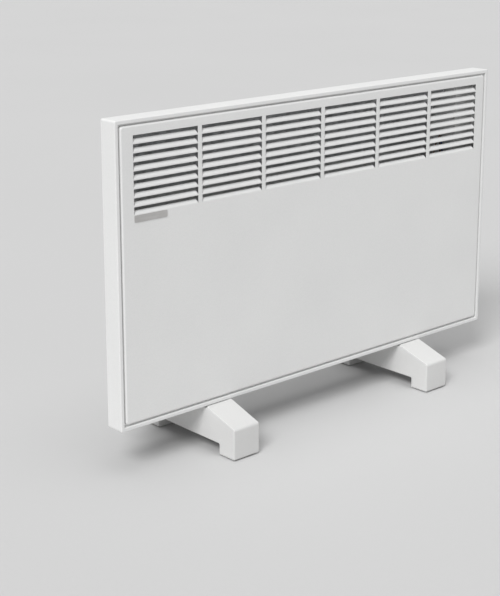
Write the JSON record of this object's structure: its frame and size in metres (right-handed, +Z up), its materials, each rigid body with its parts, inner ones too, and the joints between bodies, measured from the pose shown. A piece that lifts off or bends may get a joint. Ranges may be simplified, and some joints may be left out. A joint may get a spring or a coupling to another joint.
{
  "type": "wall panel convector heater",
  "caption": "Slim white panel convector heater with a louvred steel front, shallow rear box, side thermostat knob and rocker switch, standing on moulded bridge feet.",
  "frame": {"origin": "on the floor, midway between the two feet and midway between their toes and heels", "axes": "+X to the right as seen from the front, +Y towards the wall side, +Z up; the louvred front faces -Y"},
  "size_m": [0.795, 0.215, 0.52],
  "materials": {
    "white_paint": "fine-grained satin white powder coat",
    "white_plastic": "fine-grained satin white moulding",
    "control_plastic": "satin pale grey-white moulding",
    "dark_plastic": "satin charcoal moulding",
    "galvanised": "galvanised sheet",
    "aluminium": "extruded, mill finish",
    "steel": "zinc-plated",
    "rubber": "matt",
    "ceramic": "unglazed ceramic",
    "copper": "drawn copper",
    "brown_wire": "silicone sleeve",
    "blue_wire": "silicone sleeve"
  },
  "bodies": {
    "heater": {"front_panel": "white_paint", "casing_frame": "white_paint", "rear_box": "white_paint", "foot_left": "white_plastic", "foot_right": "white_plastic", "foot_pad_left_toe": "rubber", "foot_pad_left_heel": "rubber", "foot_pad_right_toe": "rubber", "foot_pad_right_heel": "rubber", "foot_screw_left_front": "steel", "foot_screw_left_rear": "steel", "foot_screw_right_front": "steel", "foot_screw_right_rear": "steel", "duct_side_left": "galvanised", "duct_side_right": "galvanised", "heat_shield": "galvanised", "air_baffle": "galvanised", "element_block": "aluminium", "element_sheath": "steel", "element_bush_left": "ceramic", "element_bush_right": "ceramic", "terminal_pin_left": "steel", "terminal_pin_right": "steel", "thermal_cutout": "dark_plastic", "control_housing": "control_plastic", "thermostat_body": "dark_plastic", "switch_frame": "dark_plastic", "cable_gland": "control_plastic", "terminal_block": "control_plastic", "room_sensor": "copper", "sensor_clip": "control_plastic", "sensor_capillary": "copper", "lead_live": "brown_wire", "lead_neutral": "blue_wire"},
    "knob": {"thermostat_knob": "dark_plastic", "thermostat_shaft": "steel"},
    "rocker": {"switch_rocker": "dark_plastic"}
  },
  "joints": [
    {"name": "thermostat_turn", "type": "hinge", "parent": "heater", "child": "knob", "pos_m": [0.3809, 0.016, 0.43], "axis": [-1, 0, 0], "range_deg": [0, 270]},
    {"name": "rocker_tilt", "type": "hinge", "parent": "heater", "child": "rocker", "pos_m": [0.3803, 0.016, 0.376], "axis": [0, -1, 0], "range_deg": [0, 20]}
  ]
}
